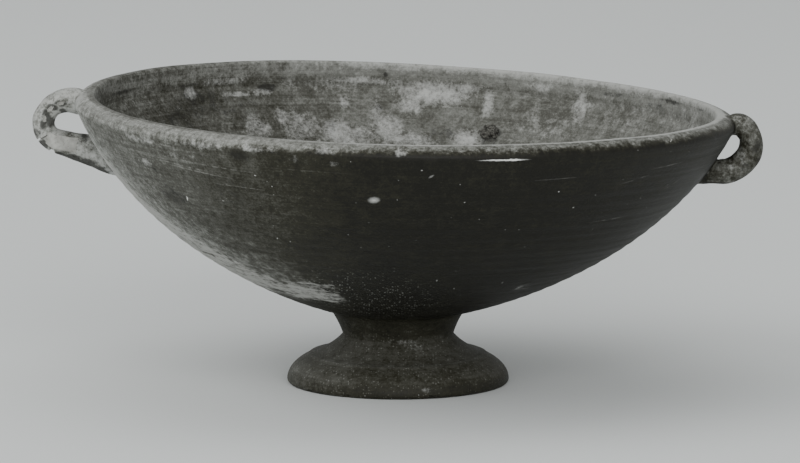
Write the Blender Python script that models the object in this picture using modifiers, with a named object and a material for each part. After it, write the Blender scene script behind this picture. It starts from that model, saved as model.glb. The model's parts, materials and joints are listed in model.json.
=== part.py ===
"""A footed drinking cup of fired clay: a wide bowl on a low moulded foot, with two loop handles at the rim.

The potter threw the bowl and the foot on a wheel, joined them while damp and pressed on two coils as
handles, and firing made them one piece. So the cup is one solid, hollow above and turned out underneath.
The bowl sagged a little to one side before firing. X runs through the handles, -Y is the side that the
cup is seen from, and the foot stands on Z = 0 with the wheel's axis through the origin.
"""

import math

import bmesh
import bpy
from mathutils import Matrix, Vector

MM = 0.001

# Bowl
RIM_RADIUS = 120.0 * MM
BOWL_HEIGHT = 76.4 * MM
WALL_THICKNESS = 4.6 * MM
# The wall is an arc of an ellipse, between these two angles from the ellipse's lowest point.
WALL_START_DEG = 20.6
WALL_END_DEG = 71.9

# Lip: a bead that is rounded outside and overhangs the inner wall a little
LIP_DROP_OUTSIDE = 4.2 * MM
LIP_DROP_INSIDE = 5.0 * MM
LIP_WIDTH = 7.2 * MM
LIP_INNER_ROUND = 1.3 * MM

# Stem: a cone that narrows from the bowl down to the neck, then a flare that spreads onto the foot
NECK_RADIUS = 20.2 * MM
CONE_HEIGHT = 8.6 * MM
CONE_SPREAD = 4.2 * MM
CONE_TOP_DEG = 60.0
CONE_END_DEG = 75.0
FLARE_HEIGHT = 6.4 * MM
FLARE_SPREAD = 8.3 * MM
FLARE_TOP_DEG = 46.0
FLARE_END_DEG = 19.0

# Foot: a thick round edge that begins at a small step under the flare
FOOT_RADIUS = 40.5 * MM
FOOT_HEIGHT = 11.6 * MM
FOOT_STEP_DEG = 42.0
FOOT_WIDEST_HEIGHT = 1.5 * MM
FOOT_EDGE_ROUND = 1.5 * MM
RESTING_RING_WIDTH = 3.0 * MM
HOLLOW_HEIGHT = 14.0 * MM

# Heights and radii that follow from these
NECK_HEIGHT = FOOT_HEIGHT + FLARE_HEIGHT
STEM_TOP_HEIGHT = NECK_HEIGHT + CONE_HEIGHT
STEM_TOP_RADIUS = NECK_RADIUS + CONE_SPREAD
RIM_HEIGHT = STEM_TOP_HEIGHT + BOWL_HEIGHT

# How the bowl sagged between the stem and the rim
RIM_TILT = 0.035
RIM_SHIFT = 2.76 * MM
RIM_TWIST = -1.0 * MM
TILT_ONSET = 0.3

# Handles: thickness of each coil, its width along the rim, and how far the pair is turned from the X axis
LEFT_COIL = 8.4 * MM
RIGHT_COIL = 8.9 * MM
COIL_WIDTH_SHARE = 1.15
HANDLE_TURN_DEG = 3.0
# Each path point is its depth below the rim, its distance out from the wall there, and its share of
# the coil. The first lies in the middle of the lip and the last in the middle of the wall.
LEFT_PATH = (
    (5.2 * MM, -LIP_WIDTH / 2, 1.18),
    (4.5 * MM, 3.9 * MM, 1.03),
    (7.5 * MM, 11.2 * MM, 0.90),
    (13.3 * MM, 16.6 * MM, 0.96),
    (18.4 * MM, 16.8 * MM, 0.98),
    (20.7 * MM, 10.6 * MM, 1.12),
    (22.2 * MM, 5.2 * MM, 1.24),
    (26.6 * MM, 0.8 * MM, 0.94),
    (30.2 * MM, -WALL_THICKNESS / 2, 0.36),
)
RIGHT_PATH = (
    (3.9 * MM, -LIP_WIDTH / 2, 0.82),
    (3.6 * MM, 1.6 * MM, 0.96),
    (7.2 * MM, 6.8 * MM, 0.92),
    (13.0 * MM, 10.3 * MM, 1.00),
    (17.8 * MM, 10.3 * MM, 1.04),
    (20.6 * MM, 7.6 * MM, 1.04),
    (21.3 * MM, 2.6 * MM, 1.02),
    (23.6 * MM, -WALL_THICKNESS / 2, 0.60),
)

# A chip broken out of the left coil's lower outer edge
CHIP_RADIUS = 2.8 * MM
CHIP_DEPTH = 1.7 * MM
CHIP_BELOW_RIM = 22.4 * MM
CHIP_FROM_WALL = 18.8 * MM
CHIP_FACING = (0.6, 0.0, -0.8)

# How finely round stretches are divided
TURN_STEPS = 72
FLOOR_STEPS = 3
WALL_STEPS = 12
WALL_LOOKUP_STEPS = 200
CONE_STEPS = 2
FLARE_STEPS = 3
FOOT_EDGE_STEPS = 6
LIP_STEPS = 4
SMALL_ROUND_STEPS = 2
HOLLOW_STEPS = 6
COIL_STEPS_PER_SPAN = 3
COIL_BEVEL_RESOLUTION = 2
MERGE_DISTANCE = 1e-6
SHARP_ABOVE_DEG = 40.0


# Curves that the outline is made of


def ellipse_arc(start, end, start_deg, end_deg, steps):
    """Points from start to end on an arc of an ellipse that is level at 0 degrees and upright at 90."""
    a, b = math.radians(start_deg), math.radians(end_deg)
    reach = (end[0] - start[0]) / (math.sin(b) - math.sin(a))
    rise = (end[1] - start[1]) / (math.cos(a) - math.cos(b))
    points = []
    for i in range(steps + 1):
        u = a + (b - a) * i / steps
        radius = start[0] + reach * (math.sin(u) - math.sin(a))
        height = start[1] + rise * (math.cos(a) - math.cos(u))
        points.append((radius, height))
    return points


def spline_value(a, b, c, d, t):
    """The Catmull-Rom value between b and c, at the share t of the way."""
    linear = c - a
    square = 2 * a - 5 * b + 4 * c - d
    cubic = 3 * b - a - 3 * c + d
    return 0.5 * (2 * b + linear * t + square * t**2 + cubic * t**3)


def smooth_through(points, steps):
    """A smooth curve through the points, each of any number of values, with this many steps a span."""
    first = [2 * a - b for a, b in zip(points[0], points[1])]
    last = [2 * a - b for a, b in zip(points[-1], points[-2])]
    padded = [first, *points, last]
    curve = []
    for i in range(len(points) - 1):
        for step in range(steps):
            curve.append(tuple(spline_value(*four, step / steps) for four in zip(*padded[i : i + 4])))
    return [*curve, tuple(points[-1])]


def offset_inwards(points, distance):
    """A curve that runs outwards and up, moved square to itself towards the axis and up."""
    moved = []
    for i, (radius, height) in enumerate(points):
        before, after = points[max(i - 1, 0)], points[min(i + 1, len(points) - 1)]
        along = Vector((after[0] - before[0], after[1] - before[1])).normalized()
        moved.append((radius - along.y * distance, height + along.x * distance))
    return moved


# The outline, from the middle of the bowl's floor over the lip to the middle of the underside


def outer_wall(steps=WALL_STEPS):
    """The bowl's outside, from the stem up to the lip."""
    stem = (STEM_TOP_RADIUS, STEM_TOP_HEIGHT)
    lip = (RIM_RADIUS, RIM_HEIGHT - LIP_DROP_OUTSIDE)
    return ellipse_arc(stem, lip, WALL_START_DEG, WALL_END_DEG, steps)


def wall_radius(height):
    """The radius of the bowl's outside at a height, carried on above the wall's end for the lip."""
    fine = outer_wall(WALL_LOOKUP_STEPS)
    for (r0, z0), (r1, z1) in zip(fine, fine[1:]):
        if height <= z1:
            break
    return r0 + (r1 - r0) * (height - z0) / (z1 - z0)


def inside():
    """The floor, a shallow dish that runs on into the inner wall, and that wall up to the lip's bead."""
    wall = offset_inwards(outer_wall(), WALL_THICKNESS)
    top = RIM_HEIGHT - LIP_DROP_INSIDE
    wall = [point for point in wall if point[1] < top - LIP_INNER_ROUND]
    floor_radius, floor_edge = wall[0]
    slope = (wall[1][1] - floor_edge) / (wall[1][0] - floor_radius)
    dish = slope * floor_radius / 2
    shares = [i / FLOOR_STEPS for i in range(FLOOR_STEPS)]
    floor = [(floor_radius * share, floor_edge - dish * (1 - share**2)) for share in shares]
    under_bead = RIM_RADIUS - LIP_WIDTH + LIP_INNER_ROUND
    return [*floor, *wall, (under_bead, top)]


def lip():
    """The bead: up its inner face, over the crest and down its outer round."""
    inner = RIM_RADIUS - LIP_WIDTH
    crest = (inner + LIP_INNER_ROUND, RIM_HEIGHT)
    foot_of_bead = (inner, RIM_HEIGHT - LIP_DROP_INSIDE + LIP_INNER_ROUND)
    inner_round = ellipse_arc((inner, RIM_HEIGHT - LIP_INNER_ROUND), crest, 90, 0, SMALL_ROUND_STEPS)
    outer_round = ellipse_arc(crest, (RIM_RADIUS, RIM_HEIGHT - LIP_DROP_OUTSIDE), 0, 90, LIP_STEPS)
    return [foot_of_bead, *inner_round, *outer_round[1:]]


def stem_and_foot():
    """Down the cone and the flare, over the foot's round edge and in under it."""
    stem_top = (STEM_TOP_RADIUS, STEM_TOP_HEIGHT)
    neck = (NECK_RADIUS, NECK_HEIGHT)
    step = (NECK_RADIUS + FLARE_SPREAD, FOOT_HEIGHT)
    widest = (FOOT_RADIUS, FOOT_WIDEST_HEIGHT)
    ring = (FOOT_RADIUS - FOOT_EDGE_ROUND, 0.0)
    cone = ellipse_arc(stem_top, neck, CONE_TOP_DEG, CONE_END_DEG, CONE_STEPS)
    flare = ellipse_arc(neck, step, FLARE_TOP_DEG, FLARE_END_DEG, FLARE_STEPS)
    edge = ellipse_arc(step, widest, FOOT_STEP_DEG, 90, FOOT_EDGE_STEPS)
    under_edge = ellipse_arc(widest, ring, 90, 0, SMALL_ROUND_STEPS)
    return [*cone[1:], *flare[1:], *edge[1:], *under_edge[1:]]


def underside():
    """The resting ring and the bell-shaped hollow that the potter turned out of the foot."""
    ring_inside = FOOT_RADIUS - FOOT_EDGE_ROUND - RESTING_RING_WIDTH
    shares = [1 - i / HOLLOW_STEPS for i in range(HOLLOW_STEPS + 1)]
    return [(ring_inside * share, HOLLOW_HEIGHT * math.cos(share * math.pi / 2) ** 2) for share in shares]


def cup_outline():
    return [*inside(), *lip(), *reversed(outer_wall()[:-1]), *stem_and_foot(), *underside()]


# Objects


def helper_collection():
    helpers = bpy.data.collections.new("helpers")
    bpy.context.scene.collection.children.link(helpers)
    helpers.hide_render = True
    return helpers


def hidden_helper(name, data, helpers):
    """An object that only joins or cuts another one."""
    helper = bpy.data.objects.new(name, data)
    helper.hide_render = True
    helper.display_type = "WIRE"
    helpers.objects.link(helper)
    return helper


def turned_body(helpers):
    """The bowl, stem and foot: the outline turned about Z by a Screw modifier."""
    outline = cup_outline()
    mesh = bpy.data.meshes.new("turned_outline")
    edges = [(i, i + 1) for i in range(len(outline) - 1)]
    mesh.from_pydata([(radius, 0.0, height) for radius, height in outline], edges, [])
    body = hidden_helper("turned_body", mesh, helpers)
    turn = body.modifiers.new("turn", "SCREW")
    turn.axis = "Z"
    turn.angle = math.tau
    turn.steps = TURN_STEPS
    turn.render_steps = TURN_STEPS
    turn.use_merge_vertices = True
    turn.merge_threshold = MERGE_DISTANCE
    return body


def evaluated_mesh(obj):
    """The object's mesh with its modifiers and curve settings worked in, and its caps and seams closed."""
    bpy.context.view_layer.update()
    graph = bpy.context.evaluated_depsgraph_get()
    mesh = bpy.data.meshes.new_from_object(obj.evaluated_get(graph))
    work = bmesh.new()
    work.from_mesh(mesh)
    bmesh.ops.remove_doubles(work, verts=work.verts, dist=MERGE_DISTANCE)
    work.to_mesh(mesh)
    work.free()
    return mesh


def handle(name, path, coil, azimuth_deg, helpers):
    """One coil bent along its path, upright and square to the rim, with both ends sunk in the wall."""
    curve = bpy.data.curves.new(name + "_path", "CURVE")
    curve.dimensions = "3D"
    curve.bevel_depth = coil / 2
    curve.bevel_resolution = COIL_BEVEL_RESOLUTION
    curve.use_fill_caps = True
    spline = curve.splines.new("POLY")
    points = smooth_through(path, COIL_STEPS_PER_SPAN)
    spline.points.add(len(points) - 1)
    for point, (depth, stand_off, share) in zip(spline.points, points):
        height = RIM_HEIGHT - depth
        point.co = (wall_radius(height) + stand_off, 0.0, height, 1.0)
        point.radius = share
    drawn = hidden_helper(name + "_path", curve, helpers)
    mesh = evaluated_mesh(drawn)
    bpy.data.objects.remove(drawn)
    mesh.transform(Matrix.Scale(COIL_WIDTH_SHARE, 4, (0, 1, 0)))
    mesh.transform(Matrix.Rotation(math.radians(azimuth_deg), 4, "Z"))
    return hidden_helper(name, mesh, helpers)


def chip_cutter(azimuth_deg, helpers):
    """A rough stone shape where the coil's edge broke away."""
    work = bmesh.new()
    bmesh.ops.create_icosphere(work, subdivisions=1, radius=CHIP_RADIUS)
    height = RIM_HEIGHT - CHIP_BELOW_RIM
    outer_edge = Vector((wall_radius(height) + CHIP_FROM_WALL, 0.0, height))
    centre = outer_edge + Vector(CHIP_FACING) * (CHIP_RADIUS - CHIP_DEPTH)
    bmesh.ops.translate(work, verts=work.verts, vec=centre)
    mesh = bpy.data.meshes.new("chip")
    work.to_mesh(mesh)
    work.free()
    mesh.transform(Matrix.Rotation(math.radians(azimuth_deg), 4, "Z"))
    return hidden_helper("chip", mesh, helpers)


def boolean(target, operation, tool):
    modifier = target.modifiers.new(operation.lower() + "_" + tool.name, "BOOLEAN")
    modifier.operation = operation
    modifier.solver = "EXACT"
    modifier.object = tool


def sagged(point):
    """Where a point of the cup as thrown came to lie when the damp bowl leaned over its stem."""
    share = (point.z - STEM_TOP_HEIGHT) / (RIM_HEIGHT - STEM_TOP_HEIGHT)
    if share <= 0:
        return point.copy()
    lean = RIM_TILT * point.x * share**TILT_ONSET
    saddle = RIM_TWIST * 2 * point.x * point.y / RIM_RADIUS**2 * share**TILT_ONSET
    return Vector((point.x + RIM_SHIFT * share, point.y, point.z - lean + saddle))


def fired_clay():
    material = bpy.data.materials.new("dark_slipped_clay")
    material.use_nodes = True
    shader = material.node_tree.nodes["Principled BSDF"]
    shader.inputs["Base Color"].default_value = (0.045, 0.043, 0.037, 1.0)
    shader.inputs["Roughness"].default_value = 0.62
    shader.inputs["Metallic"].default_value = 0.0
    return material


def build_cup():
    helpers = helper_collection()
    body = turned_body(helpers)
    left_azimuth = 180 - HANDLE_TURN_DEG
    right_azimuth = -HANDLE_TURN_DEG
    boolean(body, "UNION", handle("left_handle", LEFT_PATH, LEFT_COIL, left_azimuth, helpers))
    boolean(body, "UNION", handle("right_handle", RIGHT_PATH, RIGHT_COIL, right_azimuth, helpers))
    boolean(body, "DIFFERENCE", chip_cutter(left_azimuth, helpers))
    mesh = evaluated_mesh(body)
    for vertex in mesh.vertices:
        vertex.co = sagged(vertex.co)
    mesh.materials.clear()
    mesh.materials.append(fired_clay())
    mesh.shade_smooth()
    mesh.set_sharp_from_angle(angle=math.radians(SHARP_ABOVE_DEG))
    cup = bpy.data.objects.new("cup", mesh)
    collection = bpy.data.collections.new("footed_cup")
    bpy.context.scene.collection.children.link(collection)
    collection.objects.link(cup)
    return cup


for old in list(bpy.data.objects):
    bpy.data.objects.remove(old)
build_cup()
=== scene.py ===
# %% [markdown]
# # A footed drinking cup of dark-slipped clay
# The real cup was thrown on a wheel, given two coil handles, dipped in a dark slip, fired, used, buried
# and dug up again. This lesson dresses its plain frame: it turns a finer body, adds real handles and
# breaks, and then builds the worn slip, the lime and the soil stains as procedural materials, with some
# painted light and shade among them.
#
# The frame is loaded first. It is the cup at its true size, so everything below is measured against it.

# %% Load the frame
import json
import math
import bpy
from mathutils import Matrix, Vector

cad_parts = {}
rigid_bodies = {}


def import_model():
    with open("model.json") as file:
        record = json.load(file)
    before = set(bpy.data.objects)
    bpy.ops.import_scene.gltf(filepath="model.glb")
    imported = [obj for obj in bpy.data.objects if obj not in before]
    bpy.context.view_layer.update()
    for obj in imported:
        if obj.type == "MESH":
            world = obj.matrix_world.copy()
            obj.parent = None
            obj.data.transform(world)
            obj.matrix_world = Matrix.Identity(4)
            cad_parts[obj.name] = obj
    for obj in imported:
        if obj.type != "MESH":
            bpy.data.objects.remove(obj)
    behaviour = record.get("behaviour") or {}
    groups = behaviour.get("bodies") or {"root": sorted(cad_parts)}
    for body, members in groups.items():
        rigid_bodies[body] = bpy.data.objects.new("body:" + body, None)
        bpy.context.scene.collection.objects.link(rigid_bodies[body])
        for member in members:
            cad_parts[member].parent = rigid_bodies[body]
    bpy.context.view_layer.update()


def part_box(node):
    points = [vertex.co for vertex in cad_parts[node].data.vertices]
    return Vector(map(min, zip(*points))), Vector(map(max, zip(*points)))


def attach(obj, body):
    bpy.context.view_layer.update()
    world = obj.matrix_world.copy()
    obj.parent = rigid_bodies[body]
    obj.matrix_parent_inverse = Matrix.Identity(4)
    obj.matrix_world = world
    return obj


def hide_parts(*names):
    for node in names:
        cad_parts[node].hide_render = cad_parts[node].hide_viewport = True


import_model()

from types import SimpleNamespace

import bmesh
import bpy
from mathutils import Matrix, Vector, kdtree, noise

# %% [markdown]
# ## Sizes
# The lengths are those of the real cup, in millimetres. The rim's radius is read from the frame, where the
# bowl is as deep from front to back as the rim is wide. Everything else hangs on the height of the rim
# over the foot, and on the ellipse that the potter's rib left in the wall.

# %% Sizes of the turned body
MM = 0.001
cup_low, cup_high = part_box("cup")
RIM_RADIUS = (cup_high[1] - cup_low[1]) / 2 / MM
RIM_HEIGHT = 103.0
WALL_THICKNESS = 4.6
WALL_DEG = (20.6, 71.9)
LIP_WIDTH = 7.2
LIP_DROP_OUTSIDE = 4.2
LIP_DROP_INSIDE = 5.0
LIP_ROUND = 1.3
BEAD_START = 94.8
STEM_TOP = (24.4, 26.6)
NECK = (20.2, 18.0)
FOOT_STEP = (32.2, 10.5)
FOOT_WIDEST = (40.5, 1.5)
RING_OUTSIDE = 39.0
RING_INSIDE = 36.0
HOLLOW_HEIGHT = 14.0
print("Rim radius:", round(RIM_RADIUS, 1), "mm, height:", RIM_HEIGHT, "mm")

# %% [markdown]
# ## The outline
# A thrown pot is a surface of revolution, so its whole shape is one line: out across the floor, up the
# inner wall, over the lip, down the outer wall, round the foot and back in underneath. Each stretch is an
# arc of an ellipse, which is how a rib or a fingertip leaves wet clay. A finger also leaves ridges, so the
# line is then shifted a tenth of a millimetre or so, square to itself, by a wave whose spacing drifts.


# %% Arcs and offsets
def ellipse_arc(start, end, start_deg, end_deg, steps):
    """Points on an arc of an ellipse that is level at 0 degrees and upright at 90."""
    a, b = math.radians(start_deg), math.radians(end_deg)
    reach = (end[0] - start[0]) / (math.sin(b) - math.sin(a))
    rise = (end[1] - start[1]) / (math.cos(a) - math.cos(b))
    angles = [a + (b - a) * i / steps for i in range(steps + 1)]
    return [
        (start[0] + reach * (math.sin(u) - math.sin(a)), start[1] + rise * (math.cos(a) - math.cos(u)))
        for u in angles
    ]


def squares_of(points):
    """The direction square to the line at each point, to the left of the way it runs."""
    directions = []
    for i in range(len(points)):
        before, after = points[max(i - 1, 0)], points[min(i + 1, len(points) - 1)]
        along = Vector((after[0] - before[0], after[1] - before[1])).normalized()
        directions.append((-along.y, along.x))
    return directions


def shifted(points, distances):
    return [
        (radius + square[0] * distance, height + square[1] * distance)
        for (radius, height), square, distance in zip(points, squares_of(points), distances)
    ]


# %% Stretches of the outline
WALL_STEPS = 84
FLOOR_STEPS = 14
BEAD_STEPS = 7
LIP_STEPS = 9
FOOT_STEPS = 14
HOLLOW_STEPS = 18
RIDGE_HEIGHT = 0.10
RIDGE_SPACING = 5.2


def wheel_ridges(points, height, seed):
    """Shifts that follow the path length, as a finger drawn up a turning wall leaves them."""
    shifts, travelled = [], 0.0
    for i, point in enumerate(points):
        if i:
            travelled += math.dist(point, points[i - 1])
        drift = 3.0 * noise.noise(Vector((travelled / 40.0, seed, 0.0)))
        fade = max(math.sin(math.pi * i / (len(points) - 1)), 0.0) ** 0.5
        shifts.append(height * fade * math.sin(math.tau * travelled / RIDGE_SPACING + drift))
    return shifts


outer_wall = ellipse_arc(STEM_TOP, (RIM_RADIUS, RIM_HEIGHT - LIP_DROP_OUTSIDE), *WALL_DEG, WALL_STEPS)
inner_wall = shifted(outer_wall, [WALL_THICKNESS] * len(outer_wall))
bead_bottom = RIM_HEIGHT - LIP_DROP_INSIDE
inner_wall = [point for point in inner_wall if point[1] < BEAD_START]
floor_radius, floor_edge = inner_wall[0]
floor_slope = (inner_wall[1][1] - floor_edge) / (inner_wall[1][0] - floor_radius)
floor_dish = floor_slope * floor_radius / 2
shares = [i / FLOOR_STEPS for i in range(FLOOR_STEPS)]
floor = [(floor_radius * share, floor_edge - floor_dish * (1 - share**2)) for share in shares]
inside_line = [*floor, *inner_wall]
inside_line = shifted(inside_line, wheel_ridges(inside_line, RIDGE_HEIGHT * 1.6, seed=1.0))

lip_inner = RIM_RADIUS - LIP_WIDTH
crest = (lip_inner + LIP_ROUND, RIM_HEIGHT)
swell = [i / BEAD_STEPS for i in range(1, BEAD_STEPS + 1)]
(low_radius, low_height), bead_rise = inside_line[-1], bead_bottom + LIP_ROUND - inside_line[-1][1]
bead_face = [
    (low_radius + (lip_inner - low_radius) * share**2 * (3 - 2 * share), low_height + bead_rise * share)
    for share in swell
]
bead_face.append((lip_inner - 0.15, RIM_HEIGHT - 2 * LIP_ROUND))
inner_round = ellipse_arc((lip_inner, RIM_HEIGHT - LIP_ROUND), crest, 90, 0, LIP_STEPS // 2)
outer_round = ellipse_arc(crest, outer_wall[-1], 0, 90, LIP_STEPS)
lip_line = [*bead_face, *inner_round, *outer_round[1:]]

outside_line = list(reversed(outer_wall))[1:]
outside_line = shifted(outside_line, wheel_ridges(outside_line, RIDGE_HEIGHT, seed=7.0))
cone = ellipse_arc(STEM_TOP, NECK, 60, 75, FOOT_STEPS // 2)
flare = ellipse_arc(NECK, FOOT_STEP, 46, 14, FOOT_STEPS)
foot_edge = ellipse_arc(FOOT_STEP, FOOT_WIDEST, 42, 90, FOOT_STEPS)
under_edge = ellipse_arc(FOOT_WIDEST, (RING_OUTSIDE, 0.0), 90, 0, 6)
arris = (FOOT_STEP[0] + 0.2, FOOT_STEP[1] + 0.28)
foot_line = [*cone[1:], *flare[1:-1], arris, *foot_edge[1:], *under_edge[1:]]
hollow_shares = [1 - i / HOLLOW_STEPS for i in range(HOLLOW_STEPS + 1)]
hollow_line = [(RING_INSIDE * s, HOLLOW_HEIGHT * math.cos(s * math.pi / 2) ** 2) for s in hollow_shares]
hollow_line[-1] = (0.0, HOLLOW_HEIGHT)
cup_outline = [*inside_line, *lip_line, *outside_line, *foot_line, *hollow_line]
print("Outline of", len(cup_outline), "points")

# %% [markdown]
# ## The body
# The line is spun about the wheel's axis. The spin is told to merge its ends, so the skin closes on
# itself, and the two points on the axis are merged afterwards. Normals are recalculated after that merge,
# because a spin can come out inside out.

# %% Spin the outline
SPIN_STEPS = 288
THROWN, COIL, BROKEN = 0, 1, 2


def spun_body(outline):
    work = bmesh.new()
    verts = [work.verts.new((radius * MM, 0.0, height * MM)) for radius, height in outline]
    edges = [work.edges.new(pair) for pair in zip(verts, verts[1:])]
    bmesh.ops.spin(
        work, geom=verts + edges, cent=(0, 0, 0), axis=(0, 0, 1), angle=math.tau, steps=SPIN_STEPS, use_merge=True
    )
    bmesh.ops.remove_doubles(work, verts=work.verts, dist=1e-6)
    bmesh.ops.recalc_face_normals(work, faces=work.faces)
    return work


def made_object(name, work, slots=1, slot=0):
    """An object at the origin from a bmesh, with its faces on one of a number of material slots."""
    mesh = bpy.data.meshes.new(name)
    for face in work.faces:
        face.material_index = slot
        face.smooth = True
    work.to_mesh(mesh)
    work.free()
    for _ in range(slots):
        mesh.materials.append(None)
    piece = bpy.data.objects.new(name, mesh)
    bpy.context.scene.collection.objects.link(piece)
    return piece


body = made_object("cup_body", spun_body(cup_outline), slots=3, slot=THROWN)
print("Body:", len(body.data.polygons), "faces")

# %% [markdown]
# ## The handles
# Each handle is a coil rolled between the palms, bent while damp and pressed on at the lip and low on the
# wall. A coil is a ring of points pushed along a path. The path is given as depth below the rim,
# distance out from the wall, and the coil's thickness there as a share, because a thumb fattens the roots.

# %% Paths of the coils
LEFT_COIL = 8.4
RIGHT_COIL = 8.9
COIL_WIDTH_SHARE = 1.15
HANDLE_TURN_DEG = 3.0
IN_LIP, IN_WALL = -LIP_WIDTH / 2, -WALL_THICKNESS / 2
LEFT_PATH = (
    (5.2, IN_LIP, 1.18),
    (4.5, 3.9, 1.03),
    (7.5, 11.2, 0.90),
    (13.3, 16.6, 0.96),
    (18.4, 16.8, 0.98),
    (20.7, 10.6, 1.12),
    (22.2, 5.2, 1.24),
    (26.6, 0.8, 0.94),
    (30.2, IN_WALL, 0.36),
)
RIGHT_PATH = (
    (3.9, IN_LIP, 0.82),
    (3.6, 1.6, 0.96),
    (7.2, 6.8, 0.92),
    (13.0, 10.3, 1.00),
    (17.8, 10.3, 1.04),
    (20.6, 7.6, 1.04),
    (21.3, 2.6, 1.02),
    (23.6, IN_WALL, 0.60),
)


def wall_radius(height):
    """The radius of the bowl's outside at a height, carried straight on above the wall's end."""
    for (r0, z0), (r1, z1) in zip(outer_wall, outer_wall[1:]):
        if height <= z1:
            break
    return r0 + (r1 - r0) * (height - z0) / (z1 - z0)


def spline_value(a, b, c, d, t):
    """The Catmull-Rom value between b and c, at the share t of the way."""
    linear = c - a
    square = 2 * a - 5 * b + 4 * c - d
    cubic = 3 * b - a - 3 * c + d
    return 0.5 * (2 * b + linear * t + square * t**2 + cubic * t**3)


def smooth_through(points, steps):
    first = [2 * a - b for a, b in zip(points[0], points[1])]
    last = [2 * a - b for a, b in zip(points[-1], points[-2])]
    padded = [first, *points, last]
    curve = []
    for i in range(len(points) - 1):
        for step in range(steps):
            curve.append([spline_value(*four, step / steps) for four in zip(*padded[i : i + 4])])
    return [*curve, list(points[-1])]


# %% Push a ring along each path
COIL_SIDES = 44
COIL_STEPS_PER_SPAN = 15


def section_places(path, coil):
    """Where each ring of the coil lies: its middle on the path, its plane square to it."""
    middles = []
    for depth, stand_off, share in smooth_through(path, COIL_STEPS_PER_SPAN):
        height = RIM_HEIGHT - depth
        middles.append((wall_radius(height) + stand_off, height, coil / 2 * share))
    places = []
    for i, (radius, height, size) in enumerate(middles):
        before, after = middles[max(i - 1, 0)], middles[min(i + 1, len(middles) - 1)]
        along = Vector((after[0] - before[0], 0.0, after[1] - before[1])).normalized()
        across = Vector((0.0, 1.0, 0.0))
        square = along.cross(across)
        turned = Matrix((square, across, along)).transposed().to_4x4()
        oval = Matrix.Diagonal((size * MM, size * COIL_WIDTH_SHARE * MM, MM, 1.0))
        places.append(Matrix.Translation(Vector((radius, 0.0, height)) * MM) @ turned @ oval)
    return places


def coil_handle(name, path, coil, azimuth_deg):
    places = section_places(path, coil)
    work = bmesh.new()
    made = bmesh.ops.create_circle(work, cap_ends=True, segments=COIL_SIDES, radius=1.0, matrix=places[0])
    ring = list({edge for vert in made["verts"] for edge in vert.link_edges})
    for place, next_place in zip(places, places[1:]):
        pushed = bmesh.ops.extrude_edge_only(work, edges=ring)["geom"]
        ring = [item for item in pushed if isinstance(item, bmesh.types.BMEdge)]
        moved = [item for item in pushed if isinstance(item, bmesh.types.BMVert)]
        bmesh.ops.transform(work, matrix=next_place @ place.inverted(), verts=moved)
    bmesh.ops.contextual_create(work, geom=ring)
    turn = Matrix.Rotation(math.radians(azimuth_deg), 4, "Z")
    bmesh.ops.transform(work, matrix=turn, verts=work.verts)
    bmesh.ops.recalc_face_normals(work, faces=work.faces)
    return made_object(name, work, slots=3, slot=COIL)


LEFT_AZIMUTH = 180 - HANDLE_TURN_DEG
RIGHT_AZIMUTH = -HANDLE_TURN_DEG
left_handle = coil_handle("left_handle", LEFT_PATH, LEFT_COIL, LEFT_AZIMUTH)
right_handle = coil_handle("right_handle", RIGHT_PATH, RIGHT_COIL, RIGHT_AZIMUTH)
print("Handles:", len(left_handle.data.polygons), "and", len(right_handle.data.polygons), "faces")

# %% [markdown]
# ## Breaks
# The cup was knocked about. The left handle lost a flake from its face, a notch from its edge, and has
# a crack across it, and the lip and the foot have small chips. Each break is a rough stone shape taken
# away with a Boolean, and the new faces keep a material slot of their own, because a fresh break shows bare
# clay. A place is an angle round the wheel's axis, a radius and a height, in degrees and millimetres.

# %% Stones that break pieces away
STONE_SUBDIVISIONS = 4
BLOCK_CUTS = 9


def at(azimuth_deg, radius, height):
    """A point of the cup as thrown, in metres."""
    angle = math.radians(azimuth_deg)
    return Vector((radius * math.cos(angle), radius * math.sin(angle), height)) * MM


def breaker(name, place, half_sizes, lean_deg=0.0, rough=0.08, blocky=False, slot=BROKEN):
    """A rough stone or block at (azimuth, radius, height). Its half sizes are out, round and up."""
    azimuth_deg, radius, height = place
    work = bmesh.new()
    if blocky:
        bmesh.ops.create_cube(work, size=2.0)
        bmesh.ops.subdivide_edges(work, edges=work.edges, cuts=BLOCK_CUTS, use_grid_fill=True)
    else:
        bmesh.ops.create_icosphere(work, subdivisions=STONE_SUBDIVISIONS, radius=1.0)
    for vert in work.verts:
        bump = noise.fractal(vert.co * 1.9 + Vector((radius, height, azimuth_deg)), 1.0, 2.0, 4)
        vert.co *= 1.0 + rough * bump
    size = Matrix.Diagonal((*[half * MM for half in half_sizes], 1.0))
    lean = Matrix.Rotation(math.radians(lean_deg), 4, "Y")
    turn = Matrix.Rotation(math.radians(azimuth_deg), 4, "Z")
    bmesh.ops.transform(
        work, matrix=Matrix.Translation(at(*place)) @ turn @ lean @ size, verts=work.verts
    )
    return made_object(name, work, slots=3, slot=slot)


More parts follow.
